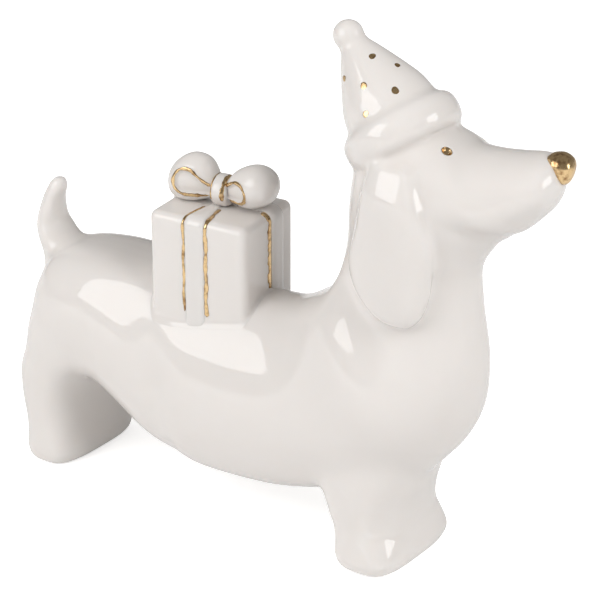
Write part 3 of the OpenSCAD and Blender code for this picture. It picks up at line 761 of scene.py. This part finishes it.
# Share of the cone's length, angle from the hat's front
dot_places = [
    (0.785, -39), (0.595, -13), (0.74, -120), (0.575, -79), (0.385, -44.5), (0.33, -91), (0.36, -162),
    (0.82, 80), (0.62, 48), (0.66, 155), (0.5, 100), (0.36, 34), (0.4, 74), (0.36, 128),
]
dots = bmesh.new()
for count, (share, angle) in enumerate(dot_places):
    outward = hat_place.to_3x3() @ Vector((cos(radians(angle)), sin(radians(angle)), 0))
    start = hat_place @ Vector((0, 0, share * cone_length)) + 2 * cone_half * outward
    spot, normal = skin_tree.ray_cast(start, -outward)[:2]
    drop = bmesh.ops.create_uvsphere(dots, u_segments=24, v_segments=12, radius=1)["verts"]
    stand = standing(normal, spot)
    for vert in drop:
        turn = atan2(vert.co.y, vert.co.x)
        uneven = 1 + dot_oval * sin(2 * turn + count) + dot_lobes * sin(3 * turn + 2.3 * count)
        reach = dot_radius * uneven * (dot_load + dot_load_swing * sin(5 * count))
        vert.co = stand @ Vector((vert.co.x * reach, vert.co.y * reach, vert.co.z * dot_film))
hand_over(dots, "hat_gold_dots", gold, "gold", "hat_dots")


# Gift box: a hollow porcelain box stuck on the back with slip. Its edges are soft under the glaze,
# and a bead of slip runs round its foot, following the back.
gift_length = 26.5
gift_width = 23
gift_height = 19.2
gift_round = 2
gift_sides = 48
wall_cuts = 15
lid_round = 1.9
lid_steps = 8
lid_z = back_z + gift_height
gift_back = 1.4
gift_turn = radians(6.5)
gift_place = Matrix.Translation((middle_x - gift_back, 0, 0)) @ Matrix.Rotation(gift_turn, 4, "Z")

# Spread of the slip beyond the wall, height above the back
foot_rows = [(1.1, -0.3), (0.8, 0), (0.45, 0.2), (0.2, 0.45), (0.05, 0.8), (0, 1.3)]


def clamped(value, limit):
    """A value kept within a limit to either side of zero."""
    return max(-limit, min(limit, value))


def on_outline(point, grow):
    """The nearest point of the box's rounded outline, grown evenly."""
    core = Vector((
        clamped(point.x, gift_length / 2 - gift_round), clamped(point.y, gift_width / 2 - gift_round), 0
    ))
    away = Vector((point.x, point.y, 0)) - core
    return core + (gift_round + grow) * away.normalized()


def back_under(point):
    """Height of the back below a point of the gift's own plan."""
    above = gift_place @ Vector((point.x, point.y, 2 * lid_z))
    return skin_tree.ray_cast(above, Vector((0, 0, -1)))[0].z


def drawn_up(bm, edges, move):
    """Extrudes a ring of edges and moves each new vertex."""
    grown = bmesh.ops.extrude_edge_only(bm, edges=edges)["geom"]
    verts = {item for item in grown if isinstance(item, bmesh.types.BMVert)}
    for vert in verts:
        vert.co = move(vert.co)
    return [e for e in grown if isinstance(e, bmesh.types.BMEdge) and verts.issuperset(e.verts)]


def foot_point(point, grow, rise):
    """A point of the bead of slip, on the back."""
    spread = on_outline(point, grow)
    spread.z = back_under(spread) + rise
    return spread


def lid_point(point, angle):
    """A point of the lid's rounded edge, by its angle up from the wall."""
    drawn = on_outline(point, lid_round * (cos(angle) - 1))
    drawn.z = lid_z - lid_round * (1 - sin(angle))
    return drawn


gift = bmesh.new()
corner_turn = Matrix.Rotation(pi / gift_sides, 4, "Z")
ring = bmesh.ops.create_circle(gift, segments=gift_sides, radius=1, matrix=corner_turn)["verts"]
for vert in ring:
    corner = Vector((copysign(gift_length, vert.co.x), copysign(gift_width, vert.co.y), 0)) / 2
    inset = gift_round * Vector((copysign(1, vert.co.x), copysign(1, vert.co.y), 0))
    vert.co = corner - inset + gift_round * vert.co
sides = [e for e in gift.edges if e.calc_length() > 2 * gift_round]
bmesh.ops.subdivide_edges(gift, edges=sides, cuts=wall_cuts)
for vert in gift.verts:
    vert.co = foot_point(vert.co, *foot_rows[0])
ring = gift.edges[:]
for grow, rise in foot_rows[1:]:
    ring = drawn_up(gift, ring, lambda point: foot_point(point, grow, rise))
for k in range(lid_steps + 1):
    ring = drawn_up(gift, ring, lambda point: lid_point(point, pi / 2 * k / lid_steps))
bmesh.ops.contextual_create(gift, geom=ring)
bmesh.ops.transform(gift, matrix=gift_place, verts=gift.verts)
hand_over(gift, "gift_cast_box", porcelain, "porcelain", "gift_box")


# Ribbons: two low bands of slip modelled on the box, one over its sides and one over its ends.
# They narrow on the lid, where they gather under the bow.
ribbon_relief = 0.55
ribbon_sink = 0.12
ribbon_thick = 0.5
ribbon_bluntness = 5
ribbon_foot = 9
ribbons = {
    "side": {"half": gift_width / 2, "shift": -0.6, "width": 5.6, "gathered": 3.2},
    "end": {"half": gift_length / 2, "shift": 3.0, "width": 4.6, "gathered": 3.4},
}


def over_gift(ribbon, run, across, lift):
    """A point over the wrapped box: distance run from the lid's middle, place across, height above it."""
    flat = ribbon["half"] - gift_round
    arc = gift_round * pi / 2
    length = abs(run)
    if length < flat:
        out, level, lean = length, lid_z, 0
    elif length < flat + arc:
        lean = (length - flat) / gift_round
        out = flat + gift_round * sin(lean)
        level = lid_z - gift_round + gift_round * cos(lean)
    else:
        lean = pi / 2
        out, level = ribbon["half"], lid_z - gift_round - (length - flat - arc)
    out = copysign(out + lift * sin(lean), run)
    level += lift * cos(lean)
    aside = ribbon["shift"] + across
    return Vector((aside, out, level)) if ribbon is ribbons["side"] else Vector((out, aside, level))


def ribbon_half_width(ribbon, run):
    """Half the ribbon's width, which is less where it is gathered under the bow."""
    share = eased(abs(run) / ribbon["half"])
    return (ribbon["gathered"] + (ribbon["width"] - ribbon["gathered"]) * share) / 2


def ribbon_length(ribbon):
    """Length from the lid's middle to the ribbon's end, which runs on into the back."""
    return ribbon["half"] + lid_z - back_z + ribbon_foot


for name, node in (("side", "ribbon_lengthwise"), ("end", "ribbon_crosswise")):
    ribbon = ribbons[name]
    band = bmesh.new()
    bmesh.ops.create_grid(band, x_segments=14, y_segments=150, size=1)
    for vert in band.verts:
        run = vert.co.y * ribbon_length(ribbon)
        lift = (ribbon_relief + ribbon_sink) * (1 - abs(vert.co.x) ** ribbon_bluntness) - ribbon_sink
        vert.co = over_gift(ribbon, run, vert.co.x * ribbon_half_width(ribbon, run), lift)
    bmesh.ops.recalc_face_normals(band, faces=band.faces)
    bmesh.ops.transform(band, matrix=gift_place, verts=band.verts)
    bmesh.ops.solidify(band, geom=band.faces[:], thickness=ribbon_thick)
    hand_over(band, "gift_band_over_" + name, porcelain, "porcelain", node)


# Bow: two fat loops and a knot of slip, stuck on the lid. Each loop has a shallow drop-shaped hollow
# pressed into both its faces, where a real bow would be open.
bow_ahead = 0.8
bow_place = gift_place @ Matrix.Translation((bow_ahead, 0, lid_z))
loop_reach = 14.5
loop_depth = 5
knot_half = 3.9
knot_width = 4
hollow_depth = 0.9
hollow_slope = 1

# Share of the reach, top, bottom, share of the depth
loop_rows = {
    "front": [
        (0.08, 6.4, 2.2, 0.4), (0.25, 9.4, 1.5, 0.74), (0.5, 11.4, 0.8, 0.94),
        (0.72, 11.7, 1.7, 0.98), (0.9, 10.4, 3.2, 0.76), (1, 8, 5.6, 0.25),
    ],
    "rear": [
        (0.08, 6.6, 2.2, 0.4), (0.25, 11, 1.3, 0.74), (0.5, 12, 0, 0.96),
        (0.72, 10.9, -0.3, 1), (0.9, 8.6, 0.5, 0.76), (1, 5.7, 3.2, 0.25),
    ],
}

# Round end and its radius, mouth beside the knot and its half height
hollows = {
    "front": (Vector((5.7, 5.3)), 2.7, Vector((2.9, 4.5)), 1.9),
    "rear": (Vector((7.9, 5.8)), 3.3, Vector((2.9, 4.1)), 1.5),
}


def inside_hollow(hollow, spot):
    """Distance of a spot inside the hollow's outline, a drop cut off at the knot; below zero outside it."""
    centre, radius, mouth, mouth_half = hollow
    along = mouth - centre
    length = along.length
    along.normalize()
    away = spot - centre
    run, aside = away.dot(along), abs(away.cross(along))
    taper = (radius - mouth_half) / length
    slant = sqrt(1 - taper**2)
    share = run * slant - aside * taper
    if share < 0:
        return radius - away.length
    if share > length * slant:
        return mouth_half - (spot - mouth).length
    return radius - (aside * slant + run * taper)


loop_trees = {}
for end, sign in (("front", 1), ("rear", -1)):
    loop = bmesh.new()
    rows = [
        (share * loop_reach, top, share * loop_reach, bottom, depth * loop_depth)
        for share, top, bottom, depth in loop_rows[end]
    ]
    loft(loop, [oval_ring(loop, row, sides=96) for row in drawn_through(rows, steps=10)])
    smoothed(loop, loop.verts[:], passes=3)
    for vert in loop.verts:
        pressed_in = eased(inside_hollow(hollows[end], vert.co.xz) / hollow_slope)
        vert.co.y -= copysign(hollow_depth * pressed_in, vert.co.y)
    bmesh.ops.scale(loop, vec=(sign, 1, 1), verts=loop.verts)
    bmesh.ops.recalc_face_normals(loop, faces=loop.faces)
    loop_trees[end] = BVHTree.FromBMesh(loop)
    bmesh.ops.transform(loop, matrix=bow_place, verts=loop.verts)
    hand_over(loop, "bow_fat_loop_" + end, porcelain, "porcelain", "bow_loop_" + end)

# Share of the width, fullness
knot_shape = [(-1, 0.84), (-0.6, 0.97), (0, 1), (0.6, 0.97), (1, 0.84)]
knot = bmesh.new()
knot_rows = []
for share, fullness in knot_shape:
    out, tall = share * knot_width / 2, fullness * knot_half
    knot_rows.append((out, knot_half + tall, out, knot_half - tall, tall))
loft(knot, [oval_ring(knot, row, sides=64) for row in drawn_through(knot_rows, steps=6)])
rolled(knot, knot.verts, depth=0.15, length=3)
knot_tree = BVHTree.FromBMesh(knot)
bmesh.ops.transform(knot, matrix=bow_place, verts=knot.verts)
hand_over(knot, "bow_tied_knot", porcelain, "porcelain", "bow_knot")


# Gold lines: drawn with a fine brush along the ribbons' edges, round the hollows of the loops and down
# both sides of the knot. The stroke swells and wobbles as the brush is pressed.
stroke_film = 0.16
stroke_sides = 10
stroke_tip = 0.25
slow_swell, slow_pace = 0.2, 0.55
quick_swell, quick_pace = 0.13, 1.37


def stroke(bm, path, widths):
    """A brush stroke along pairs of point and surface normal."""
    rings = []
    last = len(path) - 1
    for k, ((point, normal), width) in enumerate(zip(path, widths)):
        along = path[min(k + 1, last)][0] - path[max(k - 1, 0)][0]
        across = along.cross(normal).normalized()
        normal = across.cross(along).normalized()
        tip = stroke_tip if k in (0, last) else 1
        place = Matrix((across * width * tip / 2, normal * stroke_film * tip, along.normalized()))
        place = place.transposed().to_4x4()
        place.translation = point
        ring = bmesh.ops.create_circle(bm, segments=stroke_sides, radius=1, matrix=place)
        rings.append(edges_of(ring["verts"]))
    loft(bm, rings)


def pressed(count, width, seed):
    """Widths along a stroke that swells and thins."""
    return [
        width * (1 + slow_swell * sin(slow_pace * k + seed) + quick_swell * sin(quick_pace * k + 2 * seed))
        for k in range(count)
    ]


ribbon_steps = 60
ribbon_wobble, wobble_pace = 0.12, 0.4
ribbon_overlap = 0.3
ribbon_lift = 0.08
ribbon_strokes = bmesh.new()

# Ribbon, side of the gift, edge of the ribbon, start and stop of the stroke, width
for name, side, edge, start, stop, width in (
    ("side", -1, -1, 3, 34.6, 0.7), ("side", -1, 1, 3, 34.8, 1),
    ("side", 1, -1, 3, 34.2, 1.1), ("side", 1, 1, 3, 34.6, 0.9),
    ("end", 1, -1, 11, 31.6, 2), ("end", -1, 1, 11, 31, 1.2),
):
    ribbon = ribbons[name]
    path = []
    for k in range(ribbon_steps + 1):
        run = side * (start + (stop - start) * k / ribbon_steps)
        wobble = ribbon_wobble * sin(wobble_pace * k + 3 * edge)
        across = edge * (ribbon_half_width(ribbon, run) + ribbon_overlap * width) + wobble
        point = gift_place @ over_gift(ribbon, run, across, ribbon_lift)
        above = gift_place @ over_gift(ribbon, run, across, ribbon_lift + 1)
        path.append((point, above - point))
    stroke(ribbon_strokes, path, pressed(len(path), width, 2 * edge + side))
hand_over(ribbon_strokes, "gift_gold_strokes", gold, "gold", "ribbon_lines")

side_steps = 8
round_steps = 24
hollow_line_width = 0.85
bow_strokes = bmesh.new()
for end, sign in (("front", 1), ("rear", -1)):
    centre, radius, mouth, mouth_half = hollows[end]
    to_mouth = mouth - centre
    lean = atan2(to_mouth.y, to_mouth.x)
    spread = acos((radius - mouth_half) / to_mouth.length)
    below = Vector((cos(lean + spread), sin(lean + spread)))
    above = Vector((cos(lean - spread), sin(lean - spread)))
    lower = mouth + mouth_half * below, centre + radius * below
    upper = centre + radius * above, mouth + mouth_half * above
    outline = [lower[0].lerp(lower[1], k / side_steps) for k in range(side_steps)]
    for k in range(round_steps + 1):
        angle = lean + spread + (2 * pi - 2 * spread) * k / round_steps
        outline.append(centre + radius * Vector((cos(angle), sin(angle))))
    outline += [upper[0].lerp(upper[1], k / side_steps) for k in range(1, side_steps + 1)]
    for face in (-1, 1):
        path = []
        for spot in outline:
            start = Vector((sign * spot.x, face * 3 * loop_depth, spot.y))
            hit, normal = loop_trees[end].ray_cast(start, Vector((0, -face, 0)))[:2]
            path.append((bow_place @ hit, bow_place.to_3x3() @ normal))
        stroke(bow_strokes, path, pressed(len(path), hollow_line_width, sign + face))

knot_steps = 40
knot_line_end = 115
knot_line_inset = 0.5
for edge, width in ((-1, 0.5), (1, 1)):
    path = []
    for k in range(knot_steps + 1):
        angle = radians(-knot_line_end + 2 * knot_line_end * k / knot_steps)
        outward = Vector((0, -sin(angle), cos(angle)))
        start = Vector((edge * (knot_width / 2 - knot_line_inset), 0, knot_half)) + 3 * knot_half * outward
        hit, normal = knot_tree.ray_cast(start, -outward)[:2]
        path.append((bow_place @ hit, bow_place.to_3x3() @ normal))
    stroke(bow_strokes, path, pressed(len(path), width, edge))
hand_over(bow_strokes, "bow_gold_strokes", gold, "gold", "bow_lines")


# Studio: white paper on a table in a dim room. The glaze mirrors a large soft box on the left and a
# smaller one on the right. Three more lamps only fill the shadows and don't show in the glaze.
paper_half = 2
floor_mesh = bpy.data.meshes.new("table")
floor_bm = bmesh.new()
bmesh.ops.create_grid(floor_bm, x_segments=1, y_segments=1, size=paper_half)
floor_bm.to_mesh(floor_mesh)
floor_bm.free()
floor = bpy.data.objects.new("table", floor_mesh)
bpy.context.collection.objects.link(floor)
mirrored_share = 0.4
paper_glow = 0.62
paper = bpy.data.materials.new("white_paper")
paper.use_nodes = True
paper_tree = paper.node_tree
paper_shader = paper_tree.nodes["Principled BSDF"]
paper_shader.inputs["Base Color"].default_value = (0.93, 0.93, 0.93, 1)
paper_shader.inputs["Roughness"].default_value = 0.9
ray = paper_tree.nodes.new("ShaderNodeLightPath").outputs
seen = worked_out(paper_tree, "MULTIPLY_ADD", ray["Is Glossy Ray"], mirrored_share, ray["Is Camera Ray"])
seen_at_all = worked_out(paper_tree, "MAXIMUM", seen, ray["Is Transmission Ray"])
glow = paper_tree.nodes.new("ShaderNodeEmission")
both = paper_tree.nodes.new("ShaderNodeAddShader")
paper_tree.links.new(worked_out(paper_tree, "MULTIPLY", seen_at_all, paper_glow), glow.inputs["Strength"])
paper_tree.links.new(paper_shader.outputs[0], both.inputs[0])
paper_tree.links.new(glow.outputs[0], both.inputs[1])
paper_tree.links.new(both.outputs[0], paper_tree.nodes["Material Output"].inputs["Surface"])
floor_mesh.materials.append(paper)

room_level = 0.25
room = bpy.data.worlds.new("grey_room")
room.use_nodes = True
room_tree = room.node_tree
room_light = room_tree.nodes["Background"]
room_light.inputs["Color"].default_value = (1, 0.965, 0.93, 1)
room_ray = room_tree.nodes.new("ShaderNodeLightPath").outputs
room_seen = worked_out(room_tree, "MAXIMUM", room_ray["Is Camera Ray"], room_level)
room_tree.links.new(room_seen, room_light.inputs["Strength"])
scene = bpy.context.scene
scene.world = room

lamp_aim = Vector((0.0058, 0, 0.0583))


def direction_to(azimuth, elevation):
    """Direction seen from the figurine: degrees round from its right side, degrees up."""
    a, e = radians(azimuth), radians(elevation)
    return Vector((sin(a) * cos(e), -cos(a) * cos(e), sin(e)))


def soft_box(name, azimuth, elevation, distance, width, height, power):
    """Rectangular lamp that faces the figurine."""
    direction = direction_to(azimuth, elevation)
    light = bpy.data.lights.new(name, "AREA")
    light.shape = "RECTANGLE"
    light.size = width
    light.size_y = height
    light.energy = power
    lamp = bpy.data.objects.new(name, light)
    lamp.location = lamp_aim + direction * distance
    lamp.rotation_euler = direction.to_track_quat("Z", "Y").to_euler()
    bpy.context.collection.objects.link(lamp)
    return lamp


# Azimuth, elevation, distance, width, height, power
soft_box("left_soft_box", -26, 25, 0.9, 0.58, 0.56, 3.1)
soft_box("right_soft_box", 101, 20, 0.9, 0.36, 0.45, 2.2).visible_diffuse = False
soft_box("right_fill", 84, 38, 1.0, 0.5, 0.5, 4.9).visible_glossy = False
soft_box("front_fill", 0, 55, 1.0, 0.6, 0.6, 1.5).visible_glossy = False
soft_box("left_fill", -75, 40, 1.0, 0.8, 0.8, 1.1).visible_glossy = False

# Camera: the photograph's angle and frame, for a picture 597 by 600; the picture's size is not set here
view_centre = Vector((5.775, 0, 58.3)) * mm
view_distance = 0.6
camera_data = bpy.data.cameras.new("camera")
camera_data.sensor_fit = "VERTICAL"
camera_data.sensor_height = 36
camera_data.lens = 153
camera = bpy.data.objects.new("camera", camera_data)
toward = direction_to(azimuth=35.8, elevation=24.2)
camera.location = view_centre + toward * view_distance
camera.rotation_euler = toward.to_track_quat("Z", "Y").to_euler()
bpy.context.collection.objects.link(camera)
scene.camera = camera
scene.view_settings.view_transform = "Standard"
